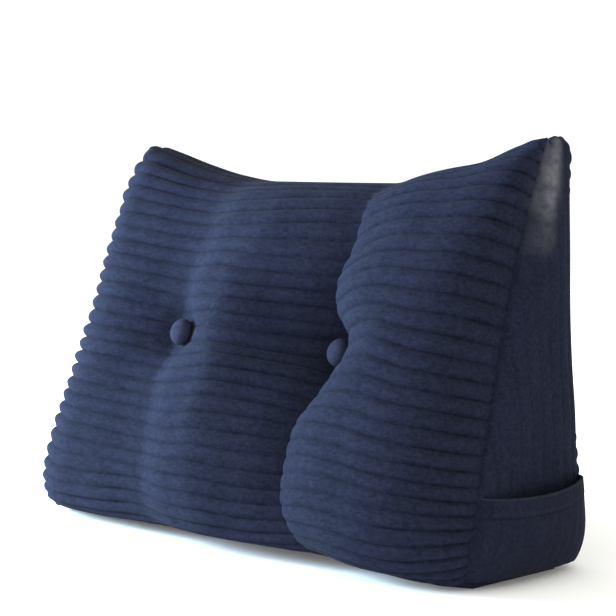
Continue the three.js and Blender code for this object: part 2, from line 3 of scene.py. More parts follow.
import bpy
import numpy as np
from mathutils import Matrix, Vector


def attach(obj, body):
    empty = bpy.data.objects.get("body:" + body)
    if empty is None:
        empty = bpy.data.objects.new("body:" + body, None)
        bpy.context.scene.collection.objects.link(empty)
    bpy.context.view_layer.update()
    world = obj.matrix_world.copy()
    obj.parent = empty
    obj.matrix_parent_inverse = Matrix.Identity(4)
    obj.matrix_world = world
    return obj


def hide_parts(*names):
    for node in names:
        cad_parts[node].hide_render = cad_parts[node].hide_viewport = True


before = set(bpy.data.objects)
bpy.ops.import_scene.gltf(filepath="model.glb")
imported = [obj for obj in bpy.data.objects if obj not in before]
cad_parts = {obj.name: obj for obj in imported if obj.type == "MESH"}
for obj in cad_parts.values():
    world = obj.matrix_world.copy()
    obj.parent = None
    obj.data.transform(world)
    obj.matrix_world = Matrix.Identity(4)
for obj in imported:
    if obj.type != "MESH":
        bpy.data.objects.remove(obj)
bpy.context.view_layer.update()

# All sizes are in millimetres, and become metres where a piece, its nap, a light or the camera is made.
MM = 0.001

# The wedge: X runs across, the padded front faces -Y and Z runs up.
WIDTH = 752
DEPTH = 214
HEIGHT = 500
TOP_DEPTH = 43
SEAM_Z = 8
EAR_INSET = 25
WAIST_INSET = 13
WAIST_RISE = 1.35
FRONT_PULL = 17
BACK_PULL = 8
CORNER_REACH = 80
CORNER_RISE = 55
FRONT_Y = -DEPTH / 2
BACK_Y = DEPTH / 2
TOP_Y = BACK_Y - TOP_DEPTH
PUSH_UP = math.pi / 2 - math.atan2(HEIGHT - SEAM_Z, TOP_Y - FRONT_Y)

# Share of the half width, how far the front and the back top edge dip below the full height.
TOP_EDGE = np.array([
    [-1.00, 5, 9],
    [-0.90, 14, 18],
    [-0.75, 30, 32],
    [-0.55, 46, 47],
    [-0.35, 54, 55],
    [0.30, 55, 56],
    [0.44, 46, 50],
    [0.60, 37, 43],
    [0.74, 29, 35],
    [0.90, 9, 20],
    [1.00, -2, 12],
])
FRONT_DIP = 1
BACK_DIP = 2

# Share of the half width, how far the front bottom edge is lifted off the floor.
FOOT_LIFT = np.array([
    [-1.00, 0],
    [-0.50, 3.5],
    [0.00, 6],
    [0.36, 8],
    [0.62, 4.5],
    [0.80, 1],
    [1.00, 0],
])

# The raised corners: how far they dome up behind the front edge, with a notch just behind it.
EAR_DOME = 8
EAR_LEAN = 1.6
EAR_REACH = 36
EAR_NOTCH = {"strength": 9, "at": 0.12, "reach": 0.1}

# The front panel: ribs across it, three lobes and two tufted valleys.
FRONT_RIBS = 28
FRONT_RIB_HEIGHT = 4.8
RIB_ROUNDNESS = 0.68
EDGE_SOFTNESS = 0.6
CORNER_SOFTNESS = 0.36
CORNER_SHARES = (0.6, 0.86)
BUTTON_SHARE = 0.52
SEAT_REACH = 0.055
SPREAD_REACH = 0.2
LOBE_LEFT = 0.87
LOBE_MIDDLE = 1.12
LOBE_RIGHT = 0.97
LOBE_BLEND = 0.16
PUSH_DOWN = math.radians(-8)
PUSH_TURN = 0.22

# The column of points that follows each valley, counted from the middle, with the sides at 1.
VALLEY_COLUMN = 0.4

# Reach and power of a valley's right flank, reach and roundness of its left flank, how rounded its
# floor is and how far it reaches under the button, to the right and to the left, and how much wider
# the left flank is there.
LEFT_VALLEY = {"right": (138, 1.1), "left": (110, 3.0), "floor": (13, 8), "seat": (20, 9), "spread": 0}
RIGHT_VALLEY = {"right": (102, 0.62), "left": (138, 0.15), "floor": (0.6, 0.6), "seat": (8, 34), "spread": 26}

# The ribs are drawn flat to the right of each valley, under the buttons and at the side seams. They
# stand higher at the left seam, and where the cloth puckers beside both seams.
LEFT_STRETCH = {"strength": 0.42, "at": 14, "reach": 30}
RIGHT_STRETCH = {"strength": 0.7, "at": 17, "reach": 34}
FLAT_AT_BUTTON = (16, 46)
FLAT_AT_SEAM = (-3, 5)
PUFF = 0.3
PUFF_SHARES = (0.9, 0.98)
PUCKER = {"strength": 0.35, "at": 15, "reach": 9}

# Share of the way up, height of the lobes, and how deep each valley cuts into them.
FRONT_CROWN = np.array([
    [0.00, 0, 0, 0],
    [0.04, 44, 6, 16],
    [0.10, 67, 10, 29],
    [0.18, 75, 13, 37],
    [0.28, 77, 15, 43],
    [0.40, 77, 22, 63],
    [0.48, 77, 34, 82],
    [0.56, 77, 34, 82],
    [0.64, 76, 22, 60],
    [0.72, 74, 15, 38],
    [0.84, 64, 9, 24],
    [0.93, 43, 5, 11],
    [1.00, 0, 0, 0],
])
CREST = 1
LEFT_DEPTH = 2
RIGHT_DEPTH = 3
LEFT = 1
RIGHT = 2

# Share of the way up, how far in from each side seam the padding rises to its full height.
EDGE_ROLL = np.array([
    [0.00, 96, 124],
    [0.08, 100, 132],
    [0.20, 98, 136],
    [0.60, 88, 136],
    [0.72, 80, 138],
    [0.86, 68, 160],
    [1.00, 64, 180],
])

# Share of the way up, where each valley lies as a share of the half width.
VALLEYS = np.array([
    [0.00, 0.30, 0.43],
    [0.15, 0.347, 0.288],
    [0.30, 0.398, 0.272],
    [0.40, 0.428, 0.318],
    [BUTTON_SHARE, 0.407, 0.349],
    [0.65, 0.417, 0.288],
    [0.80, 0.382, 0.352],
    [1.00, 0.46, 0.319],
])

# How far the ribs sag below even rows, in ribs: by rib from the bottom, at each of SAG_COLUMNS.
SAG_COLUMNS = (-1, -0.65, -0.45, -0.25, 0, 0.2, 0.38, 0.5, 0.65, 0.8, 1)
RIB_SAG = np.array([
    [0, 0, 0, 0, 0, 0, 0, 0, 0, 0, 0, 0],
    [4, 0.9, 0.7, 0.55, 0.33, 0.25, 0.75, 0.9, 0.15, 0.15, 0.8, 1.3],
    [8, 0.9, 0.76, 1.0, 0.6, 0.3, 0.75, 0.95, 0.1, 0.2, 0.9, 2.0],
    [12, 1.05, 0.82, 0.95, 0.7, 0.55, 0.63, 0.8, 0.1, 0.15, 0.85, 2.0],
    [16, 1.15, 0.87, 0.63, 0.55, 0.43, 0.2, 0.05, 0.1, -0.35, 0.3, 1.45],
    [20, 1.2, 0.66, 0.45, 0.65, 0.6, 0.13, -0.22, -0.4, -0.6, -0.32, 0.6],
    [23, 1.2, 0.66, 0.49, 0.65, 0.35, -0.25, -0.7, -0.85, -0.9, -0.65, -0.1],
    [26, 0.9, 0.65, 0.4, 0.4, 0.15, -0.2, -0.5, -0.6, -0.65, -0.5, -0.3],
    [28, 0, 0, 0, 0, 0, 0, 0, 0, 0, 0, 0],
])

# How far each row of ribs is evened out over the columns beside it, and where that ends at the sides.
EVENING_REACH = 0.07
EVENING_MARGIN = 0.2

# Small unevenness of the ribs: its strength, its pace in both directions and the seed of its waves.
RIB_WOBBLE = {"strength": 0.09, "pace": (1 / 5, 2.2), "seed": 3}
FRONT_UNEVENNESS = {"strength": 0.12, "pace": (1 / 3, 3), "seed": 5}
SIDE_UNEVENNESS = {"strength": 0.25, "pace": (1 / 60, 1 / 120), "seed": 11}
WAVES = 7
WAVE_PACES = (0.5, 1.6)

# The side panels: how far they stand out, less at the foot, and how wide their edges roll over.
SIDE_RIB_PITCH = 19.5
SIDE_RIB_HEIGHT = 1.1
SIDE_CROWN = 18
SIDE_CROWN_LOW = 11
SIDE_FULL = (90, 200)
SIDE_SWELL = {"strength": 4, "at": 345, "reach": 60}
SIDE_EDGE_ROLL = 50
SIDE_FOOT_ROLL = 40
SIDE_TOP_ROLL = 110
SIDE_TOP_MARGIN = 6

# The back, the strip along the top, and the base with its narrower ends.
BACK_RIBS = 25
BACK_RIB_HEIGHT = 3.5
BACK_CROWN = 15
BACK_EDGE_ROLL = 80
BACK_FOOT_ROLL = 60
BACK_TOP_ROLL = 170
BACK_TOP_SOFTNESS = 0.8
TOP_RIBS = 2
TOP_RIB_HEIGHT = 2
TOP_CROWN = 1
BASE_INSET = 16
BASE_END_REACH = 0.9

# The seams around the side panels, each between two corners. Ribs fade out at them, and the front
# seam is scalloped.
SIDES = (-1, 1)
SEAM_ENDS = {
    "front": ("front_foot", "front_top"),
    "back": ("back_foot", "back_top"),
    "foot": ("front_foot", "back_foot"),
    "top": ("front_top", "back_top"),
}
SEAM_FADE = 9
SEAM_SCALLOP = 2.2

# How finely the panels and seams are divided, and how much closer the lines stand in places.
LENGTH_SAMPLES = 361
COLUMN_SAMPLES = 2001
FRONT_COLUMNS = 197
CLOSER_AT_VALLEY = {"strength": 1.6, "at": VALLEY_COLUMN, "reach": 0.07}
CLOSER_AT_SIDE = {"strength": 3, "at": 1, "reach": 0.03}
FRONT_STEPS = 10
BACK_COLUMNS = 72
BACK_STEPS = 6
TOP_STEPS = 8
SIDE_ROWS = 92
SIDE_ROWS_CLOSER = 0.4
SIDE_COLUMNS = 114
SIDE_COLUMNS_CLOSER = 0.35
BASE_COLUMNS = 60
BACK_SEAM_POINTS = 150
FOOT_SEAM_POINTS = 60
TOP_SEAM_POINTS = 16

# The buttons, each shifted in X along the floor of its tuft and lifted off it.
BUTTON_RADIUS = 17.5
BUTTON_DOME = 11
BUTTON_UNDERSIDE = 5
BUTTON_FULLNESS = 0.85
BUTTON_COLUMNS = 64
BUTTON_ROWS = 34
BUTTON_TILT = (-0.47 * math.pi, 0.5 * math.pi)
LEFT_BUTTON = {"side": -1, "shift": 5, "lift": 7.9}
RIGHT_BUTTON = {"side": 1, "shift": -17, "lift": 6.9}

# The pocket on the right side: its outline, how far it bags out, and its cloth.
POCKET_TOP_FRONT = 103
POCKET_TOP_BACK = 110
POCKET_TOP_SAG = 5
POCKET_INSET_FRONT = 1
POCKET_INSET_BACK = 3
POCKET_FOOT = 9.5
POCKET_CLEAR = 1.2
POCKET_EDGE = 0.045
POCKET_SEWN_DEPTH = -0.4
POCKET_SLACK = 21
SLACK_WIDTH = 0.7
SLACK_HEIGHT = 0.65
SLACK_FULLNESS = 0.9
POCKET_CLOTH = 2.4
POCKET_RIB_HEIGHT = 0.5
POCKET_RIBS = 11
POCKET_COLUMNS = 133
POCKET_ROWS = 40
POCKET_ROWS_END = 0.97
RIM_ROWS = 4
RIM_START = 0.975

# The pocket's hem, measured up from its foot, with stitches and a bar tack. The ribs are lower in it.
HEM_HEIGHT = 23
HEM_EXTRA = 1.2
HEM_STEP = (-1, 1.5)
HEM_RIBS = 0.4
HEM_END = 0.04
STITCH_DIP = {"strength": 0.9, "at": 2.5, "reach": 1.5}

# Painted shade, multiplied into the colour: in the seams, the grooves, the stitched crease and in and above
# the pocket's mouth.
# The grooves also hold some real crushed nap, and the bar tack is dark thread.
SEAM_SHADE = 0.35
SIDE_SHADE = 0.75
POCKET_SHADE = 0.3
HEM_SHADE = 0.15
STITCH_SHADE = {"strength": 1.9, "at": 2.5, "reach": 1.2}
TACK_SHADE = {"strength": 1.5, "at": 0.035, "reach": 0.005}
MOUTH_SHADOW = 1.7
MOUTH_REACH = 9
MOUTH_FRONT = (0.12, 0.45)
MOUTH_BACK = (0.93, 1)
GROOVE_TINT = (0.66, 0.66, 0.68)

# Painted sheen: a pale area high on the right side where light catches the nap, and painted highlights along
# the pocket's hem.
SHEEN_COLOUR = (0.125, 0.125, 0.138)
SHEEN_FULL = (403, 434)
SHEEN_FAINT = (360, 385)
FAINT_SHARE = 0.3
SHEEN_MIDDLE = 0.28
SHEEN_FORWARD = 0.26
SHEEN_BACKWARD = 0.17
ON_SIDE = (-1.5, 1.5)
RIM_HIGHLIGHT = 0.1
RIM_HIGHLIGHT_SPAN = (-2.5, -1)
STITCH_HIGHLIGHT = {"strength": 0.05, "at": 5.5, "reach": 1.3}

# The mottle of the nap, drawn out along the ribs: scale and detail of each noise, how far the finer
# ones cover the coarser ones, and how the two patchy ones are spread.
NAP_STRETCH = (0.5, 1, 1)
NOISE_ROUGHNESS = 0.6
BLOTCHES = (28, 5)
TUFTS = (190, 3)
PILE = (420, 3)
TUFT_COVER = 0.7
PILE_COVER = 0.4
GROOVE_PATCHES = (38, 3)
GROOVE_SPREAD = (0.38, 0.62, 0.35, 1.15)
SHEEN_PATCHES = (75, 4)
SHEEN_SPREAD = (0.35, 0.65, 0.45, 1.1)
NAP_BUMP = 0.6
NAP_DEPTH = 1.5

# The light all around, which shows as white, and the cooler key light from the left.
SKY = (1.15, 1.15, 1.1)
KEY = (0.588, 0.816, 1.0)
KEY_POWER = 306
KEY_SIZE = 1000
KEY_TURN = math.radians(-62)
KEY_DISTANCE = 2600
KEY_RISE = 450

# The floor lies just under the pillow.
FLOOR_REACH = 6000
FLOOR_DROP = 0.5

# The camera stands far off to the right of the front, a little above the middle.
CAMERA_TURN = math.radians(44.86)
CAMERA_RISE = math.radians(4.41)
CAMERA_DISTANCE = 2342.4
CAMERA_TARGET = np.array([27.2, 0, 291.3])
CAMERA_LENS = 109.2
CAMERA_SENSOR = 36


def clamp(value):
    return np.clip(value, 0.0, 1.0)


def smooth(value, low, high):
    q = clamp((value - low) / (high - low))
    return q * q * (3 - 2 * q)


def mix(a, b, share):
    return a + (b - a) * share


def hump(distance, reach):
    """1 where the distance is 0, fading to almost 0 at twice the reach."""
    return np.exp(-((distance / reach) ** 2))


def band(value, line):
    """A soft line, at its full strength at one value and fading over its reach on both sides."""
    return line["strength"] * hump(value - line["at"], line["reach"])


def through(table, column, at):
    """A smooth curve through one column of a table, without overshoot."""
    keys = table[:, 0]
    values = table[:, column]
    slopes = np.diff(values) / np.diff(keys)
    before, after = slopes[:-1], slopes[1:]
    inner = np.where(before * after > 0, 2 * before * after / (before + after + 1e-12), 0)
    tangents = np.concatenate([[slopes[0]], inner, [slopes[-1]]])
    i = np.clip(np.searchsorted(keys, at, side="left") - 1, 0, len(keys) - 2)
    span = keys[i + 1] - keys[i]
    q = clamp((at - keys[i]) / span)
    bend = q * q * (3 - 2 * q)
    lean = span * q * (1 - q) * ((1 - q) * tangents[i] - q * tangents[i + 1])
    return mix(values[i], values[i + 1], bend) + lean


def roll(distance, width, softness=0.5):
    """A rounded rise from a seam to the full height, over the given width."""
    q = 1 - clamp(distance / width)
    return np.maximum(0, 1 - q * q) ** softness


def slope(distance, width, roundness):
    """An even rise over the given width, rounded where it reaches its full height."""
    q = 1 - clamp(distance / width)
    return 1 - (np.hypot(q, roundness) - roundness) / (math.hypot(1, roundness) - roundness)


def rib_profile(phase):
    """The rounded top of a rib, from one groove at 0 to the next at 1."""
    return np.abs(np.sin(np.pi * phase)) ** RIB_ROUNDNESS


def groove(phase):
    """How deep in a groove the cloth lies, from 0 on top of a rib to 1."""
    return (1 - rib_profile(phase)) ** 2


def unevenness(a, b, kind):
    """Smooth waves around 0, the same in every run."""
    random = np.random.default_rng(kind["seed"])
    pace_a, pace_b = kind["pace"]
    total = 0
    for _ in range(WAVES):
        turn = random.uniform(0, 2 * np.pi)
        pace = random.uniform(*WAVE_PACES)
        shift = random.uniform(0, 2 * np.pi)
        along = a * pace_a * np.cos(turn) + b * pace_b * np.sin(turn)
        total = total + np.sin(along * pace * 2 * np.pi + shift)
    return kind["strength"] * total / math.sqrt(WAVES)


def points_of(x, y, z):
    return np.stack(np.broadcast_arrays(x, y, z), axis=-1).astype(float)


def half_width(share):
    bow = np.maximum(0, share) ** WAIST_RISE
    return WIDTH / 2 - EAR_INSET * share - WAIST_INSET * 4 * bow * (1 - bow)


def corner_pull(z, distance, most):
    """How far a foot corner is drawn in, at a height and a distance from the corner's upright."""
    high = 1 - clamp((z - SEAM_Z) / CORNER_RISE)
    near = 1 - clamp(distance / CORNER_REACH)
    return most * high * high * near * near


def top_height(across, edge):
    return HEIGHT - through(TOP_EDGE, edge, across)


def foot_height(across):
    return SEAM_Z + through(FOOT_LIFT, 1, across)


def valleys(share):
    """Where the left and the right valley lie, as shares of the half width."""
    return -through(VALLEYS, LEFT, share), through(VALLEYS, RIGHT, share)


def across_at(column, share):
    """Columns run straight up the sides and follow the valleys in between."""
    left, right = valleys(share)
    outer_left = mix(-1, left, (column + 1) / (1 - VALLEY_COLUMN))
    outer_right = mix(right, 1, (column - VALLEY_COLUMN) / (1 - VALLEY_COLUMN))
    middle = mix(left, right, (column + VALLEY_COLUMN) / (2 * VALLEY_COLUMN))
    inner_or_right = np.where(column > VALLEY_COLUMN, outer_right, middle)
    return np.where(column < -VALLEY_COLUMN, outer_left, inner_or_right)


def valley_cut(past, depth, crown, share, valley):
    """How deep a valley cuts, past it by this many millimetres to the right, or to the left if negative."""
    seat = np.where(past > 0, *valley["seat"]) * np.exp(-(((share - BUTTON_SHARE) / SEAT_REACH) ** 4))
    floor = np.where(past > 0, *valley["floor"])
    from_seat = np.hypot(np.maximum(0, np.abs(past) - seat), floor) - floor
    left_reach, roundness = valley["left"]
    left_reach = left_reach + valley["spread"] * hump(share - BUTTON_SHARE, SPREAD_REACH)
    flank = np.where(past > 0, roll(from_seat, *valley["right"]), slope(from_seat, left_reach, roundness))
    return np.minimum(crown, depth) * (1 - flank)


def edge_rise(across, share):
    """How far the padding has risen to its full height, in from both side seams."""
    half = half_width(share)
    right_softness = mix(EDGE_SOFTNESS, CORNER_SOFTNESS, smooth(share, *CORNER_SHARES))
    from_left = roll((1 + across) * half, through(EDGE_ROLL, LEFT, share), EDGE_SOFTNESS)
    from_right = roll((1 - across) * half, through(EDGE_ROLL, RIGHT, share), right_softness)
    return np.minimum(from_left, from_right)


def lobe_scale(across, share):
    """How high the lobe at this place stands, against the height in the table."""
    left, right = valleys(share)
    past_left = smooth(across, left - LOBE_BLEND, left + LOBE_BLEND)
    past_right = smooth(across, right - LOBE_BLEND, right + LOBE_BLEND)
    return LOBE_LEFT + (LOBE_MIDDLE - LOBE_LEFT) * past_left + (LOBE_RIGHT - LOBE_MIDDLE) * past_right


def front_height(across, share):
    """How high the padding of the front stands: the lobes, less the valleys."""
    left, right = valleys(share)
    half = half_width(share)
    crown = through(FRONT_CROWN, CREST, share) * edge_rise(across, share) * lobe_scale(across, share)
    left_depth = through(FRONT_CROWN, LEFT_DEPTH, share)
    right_depth = through(FRONT_CROWN, RIGHT_DEPTH, share)
    left_cut = valley_cut((across - left) * half, left_depth, crown, share, LEFT_VALLEY)
    right_cut = valley_cut((across - right) * half, right_depth, crown, share, RIGHT_VALLEY)
    return np.maximum(0, crown - left_cut - right_cut)


def front_base(column, share):
    """The front panel without its ribs."""
    across = across_at(column, share)
    half = half_width(share)
    height = front_height(across, share)
    push = mix(PUSH_DOWN, PUSH_UP, smooth(share, 0, PUSH_TURN))
    flat_z = mix(foot_height(across), top_height(across, FRONT_DIP), share)
    pull = corner_pull(flat_z, (1 - np.abs(across)) * half, FRONT_PULL)
    return points_of(
        across * half - np.sign(across) * pull,
        mix(FRONT_Y, TOP_Y, share) + pull - height * np.cos(push),
        flat_z + height * np.sin(push),
    )


def front_fade(column, share):
    """How high the ribs stand, as a share of their usual height."""
    across = across_at(column, share)
    left, right = valleys(share)
    half = half_width(share)
    past_left = (across - left) * half
    past_right = (across - right) * half
    from_valley = np.minimum(np.abs(past_left), np.abs(past_right))
    from_button = np.hypot(from_valley, (share - BUTTON_SHARE) * HEIGHT)
    from_side = (1 - np.abs(across)) * half
    flattened = smooth(from_button, *FLAT_AT_BUTTON) * smooth(from_side, *FLAT_AT_SEAM)
    stretched = 1 - band(past_left, LEFT_STRETCH) - band(past_right, RIGHT_STRETCH)
    puffed = 1 + PUFF * smooth(-across, *PUFF_SHARES)
    puckered = 1 + band(from_side, PUCKER)
    return flattened * stretched * puffed * puckered


def raised(surface, a, b, height):
    """Points of a base surface, moved outward by the given height."""
    step = 1e-3
    along_a = surface(a + step, b) - surface(a - step, b)
    along_b = surface(a, b + step) - surface(a, b - step)
    normal = np.cross(along_a, along_b)
    normal /= np.maximum(np.linalg.norm(normal, axis=-1, keepdims=True), 1e-9)
    return surface(a, b) + normal * np.asarray(height)[..., None]


def rib_sags(columns, ribs):
    """How far each rib sags at each column, in ribs."""
    at_keys = [through(RIB_SAG, i + 1, ribs) for i in range(len(SAG_COLUMNS))]
    tables = [np.stack([SAG_COLUMNS, row], axis=1) for row in zip(*at_keys)]
    return np.stack([through(table, 1, columns) for table in tables])


def rib_shares(columns, ribs):
    """Shares of the way up at which the given rib positions lie, evenly along the cloth."""
    samples = np.linspace(0, 1, LENGTH_SAMPLES)
    track = front_base(columns[:, None], samples[None, :])
    steps = np.linalg.norm(np.diff(track, axis=1), axis=-1)
    lengths = np.concatenate([np.zeros((len(columns), 1)), np.cumsum(steps, axis=1)], axis=1)
    shares = np.empty((len(ribs), len(columns)))
    sags = rib_sags(columns, ribs)
    for i, column in enumerate(columns):
        wobble = unevenness(ribs, column, RIB_WOBBLE) * np.sin(np.pi * ribs / FRONT_RIBS)
        wanted = lengths[i, -1] * clamp((ribs - sags[:, i] + wobble) / FRONT_RIBS)
        shares[:, i] = np.interp(wanted, lengths[i], samples)
    return evened(columns, shares)


def evened(columns, shares):
    """Takes the kinks out of rows that cross a valley, as cloth does."""
    weights = hump(columns[:, None] - columns[None, :], EVENING_REACH) * np.gradient(columns)[None, :]
    mean = shares @ (weights / weights.sum(axis=1, keepdims=True)).T
    return mix(shares, mean, smooth(1 - np.abs(columns), 0, EVENING_MARGIN))


def side_share(z):
    return (z - SEAM_Z) / (HEIGHT - SEAM_Z)


def front_seam_y(z):
    return mix(FRONT_Y, TOP_Y, side_share(z)) + corner_pull(z, 0, FRONT_PULL)


def back_seam_y(z):
    return BACK_Y - corner_pull(z, 0, BACK_PULL)


def seam_x(z, most):
    """How far out a side seam lies, its foot drawn in by the given amount at most."""
    return half_width(side_share(z)) - corner_pull(z, 0, most)


def depth_share(y, z):
    """Share of the way from a side panel's front seam to its back seam."""
    return (y - front_seam_y(z)) / (back_seam_y(z) - front_seam_y(z))


def side_base(y, z):
    """The right side panel without its ribs."""
    from_front = y - front_seam_y(z)
    from_back = back_seam_y(z) - y
    fullest = mix(SIDE_CROWN_LOW, SIDE_CROWN, smooth(z, *SIDE_FULL)) + band(z, SIDE_SWELL)
    upright_edges = roll(from_back, SIDE_EDGE_ROLL) * roll(from_front, SIDE_EDGE_ROLL)
    level_edges = roll(z - SEAM_Z, SIDE_FOOT_ROLL) * roll(HEIGHT + SIDE_TOP_MARGIN - z, SIDE_TOP_ROLL)
    pull = corner_pull(z, from_front, FRONT_PULL) + corner_pull(z, from_back, BACK_PULL)
    return points_of(half_width(side_share(z)) + fullest * upright_edges * level_edges - pull, y, z)


def side_phase(y):
    """Ribs counted from the back of a side panel."""
    return (BACK_Y - y) / SIDE_RIB_PITCH


def side_points(y, z):
    """The right side panel with its ribs, which fade out at the seams."""
    fade = smooth(np.minimum(back_seam_y(z) - y, y - front_seam_y(z)), 0, SEAM_FADE)
    ends = smooth(np.minimum(z - SEAM_Z, HEIGHT - z), 0, SEAM_FADE)
    uneven = 1 + unevenness(y, z, SIDE_UNEVENNESS)
    return raised(side_base, y, z, SIDE_RIB_HEIGHT * rib_profile(side_phase(y)) * fade * ends * uneven)


def back_base(across, share):
    """The back panel; across runs from +X to -X, so that its outside faces +Y."""
    half = half_width(share)
    z = mix(SEAM_Z, top_height(-across, BACK_DIP), share)
    from_side = (1 - np.abs(across)) * half
    pull = corner_pull(z, from_side, BACK_PULL)
    at_foot = roll(share * HEIGHT, BACK_FOOT_ROLL)
    at_top = roll((1 - share) * HEIGHT, BACK_TOP_ROLL, BACK_TOP_SOFTNESS)
    bulge = BACK_CROWN * roll(from_side, BACK_EDGE_ROLL) * at_foot * at_top
    return points_of(np.sign(across) * pull - across * half, BACK_Y + bulge - pull, z)


def top_base(across, q):
    """The strip along the top, from the front at 0 to the back at 1."""
    half = half_width(1)
    bulge = TOP_CROWN * np.sqrt(4 * np.maximum(0, q * (1 - q)))
    ear = EAR_DOME * np.sin(np.pi * q ** EAR_LEAN) - band(q, EAR_NOTCH) * (q > 0)
    near_ear = smooth(across * half, half - EAR_REACH, half)
    z = mix(top_height(across, FRONT_DIP), top_height(across, BACK_DIP), q) + bulge + ear * near_ear
    return points_of(across * half, mix(TOP_Y, BACK_Y, q), z)


def pocket_top(q):
    """Height of the pocket's mouth, from its front end at 0 to its back end at 1."""
    return mix(POCKET_TOP_FRONT, POCKET_TOP_BACK, q) - POCKET_TOP_SAG * np.sin(np.pi * q)


def brushed(places):
    """Where a pale sheen is painted on the right side: high up, along the middle of the panel."""
    x, y, z = places.T
    on_side = smooth(x - half_width(side_share(z)), *ON_SIDE)
    rising = mix(smooth(z, *SHEEN_FULL), smooth(z, *SHEEN_FAINT), FAINT_SHARE)
    q = depth_share(y, z)
    reach = mix(SHEEN_FORWARD, SHEEN_BACKWARD, q > SHEEN_MIDDLE)
    return on_side * rising * hump(q - SHEEN_MIDDLE, reach)


def mouth_shadow(y, z):
    """How dark the painted shadow on the side panel is, inside the pocket and just above its mouth."""
    q = clamp(depth_share(y, z))
    below = 1 - smooth(z - pocket_top(q), 0, MOUTH_REACH)
    return MOUTH_SHADOW * below * smooth(q, *MOUTH_FRONT) * (1 - smooth(q, *MOUTH_BACK))


class Surface:
    """A surface gathered from points, grids and strips."""

    def __init__(self):
        self.points = []
        self.count = 0
        self.faces = []

    def add(self, points):
        """Takes an array of points and gives the array of their numbers."""
        points = np.asarray(points, float)
        flat = points.reshape(-1, 3)
        numbers = np.arange(self.count, self.count + len(flat))
        self.points.append(flat)
        self.count += len(flat)
        return numbers.reshape(points.shape[:-1])

    def grid(self, rows):
        """Fills rows that are read left to right from outside, the lowest first."""
        a, b = rows[:-1, :-1], rows[:-1, 1:]
        c, d = rows[1:, 1:], rows[1:, :-1]
        self.faces.extend(np.stack([a, b, c, d], axis=-1).reshape(-1, 4).tolist())

    def strip(self, lower, upper):
        """Joins a lower row to an upper one, with any number of points in each."""
        low = np.linspace(0, 1, len(lower))
        high = np.linspace(0, 1, len(upper))
        i = j = 0
        while i < len(lower) - 1 or j < len(upper) - 1:
            can_lower = i < len(lower) - 1
            can_upper = j < len(upper) - 1
            if can_lower and (not can_upper or low[i + 1] <= high[j + 1]):
                self.faces.append([int(lower[i]), int(lower[i + 1]), int(upper[j])])
                i += 1
            else:
                self.faces.append([int(lower[i]), int(upper[j + 1]), int(upper[j])])
                j += 1

    def fan(self, ring, centre):
        """Joins a ring, read left to right from outside, to a new point above it."""
        point = int(self.add(centre))
        for here, after in zip(ring, np.roll(ring, -1)):
            self.faces.append([int(here), int(after), point])

    def build(self, name, material, **layers):
        """Makes a smooth-shaded piece, with a number for each point in every layer."""
        points = np.concatenate(self.points) * MM
        mesh = bpy.data.meshes.new(name)
        mesh.from_pydata(points, [], self.faces)
        mesh.materials.append(material)
        for layer_name, values in layers.items():
            layer = mesh.attributes.new(layer_name, "FLOAT", "POINT")
            layer.data.foreach_set("value", np.asarray(values, np.float32))
        mesh.polygons.foreach_set("use_smooth", [True] * len(mesh.polygons))
        mesh.update()
        piece = bpy.data.objects.new(name, mesh)
        bpy.context.scene.collection.objects.link(piece)
        return piece


class Cushion(Surface):
    """The cushion's surface, which also keeps the painted shade of each point: in its grooves, seams and the
    pocket's mouth.
    """

    def __init__(self):
        super().__init__()
        self.grooves = []

    def add(self, points, shade=0.0):
        numbers = super().add(points)
        self.grooves.append(np.broadcast_to(shade, numbers.shape).reshape(-1))
        return numbers

    def seam(self, start, line, end):
        """The row of points along a seam, between two corners."""
        return np.concatenate([[start], self.add(line, SEAM_SHADE), [end]]).astype(int)

    def panel(self, points, shade, seams):
        """Fills a panel and joins it to the seams at its bottom, top, left and right."""
        bottom, top, left, right = seams
        rows = self.add(points, shade)
        self.grid(rows)
        self.strip(bottom, rows[0])
        self.strip(rows[-1], top)
        self.strip(rows[:, 0], left)
        self.strip(right, rows[:, -1])


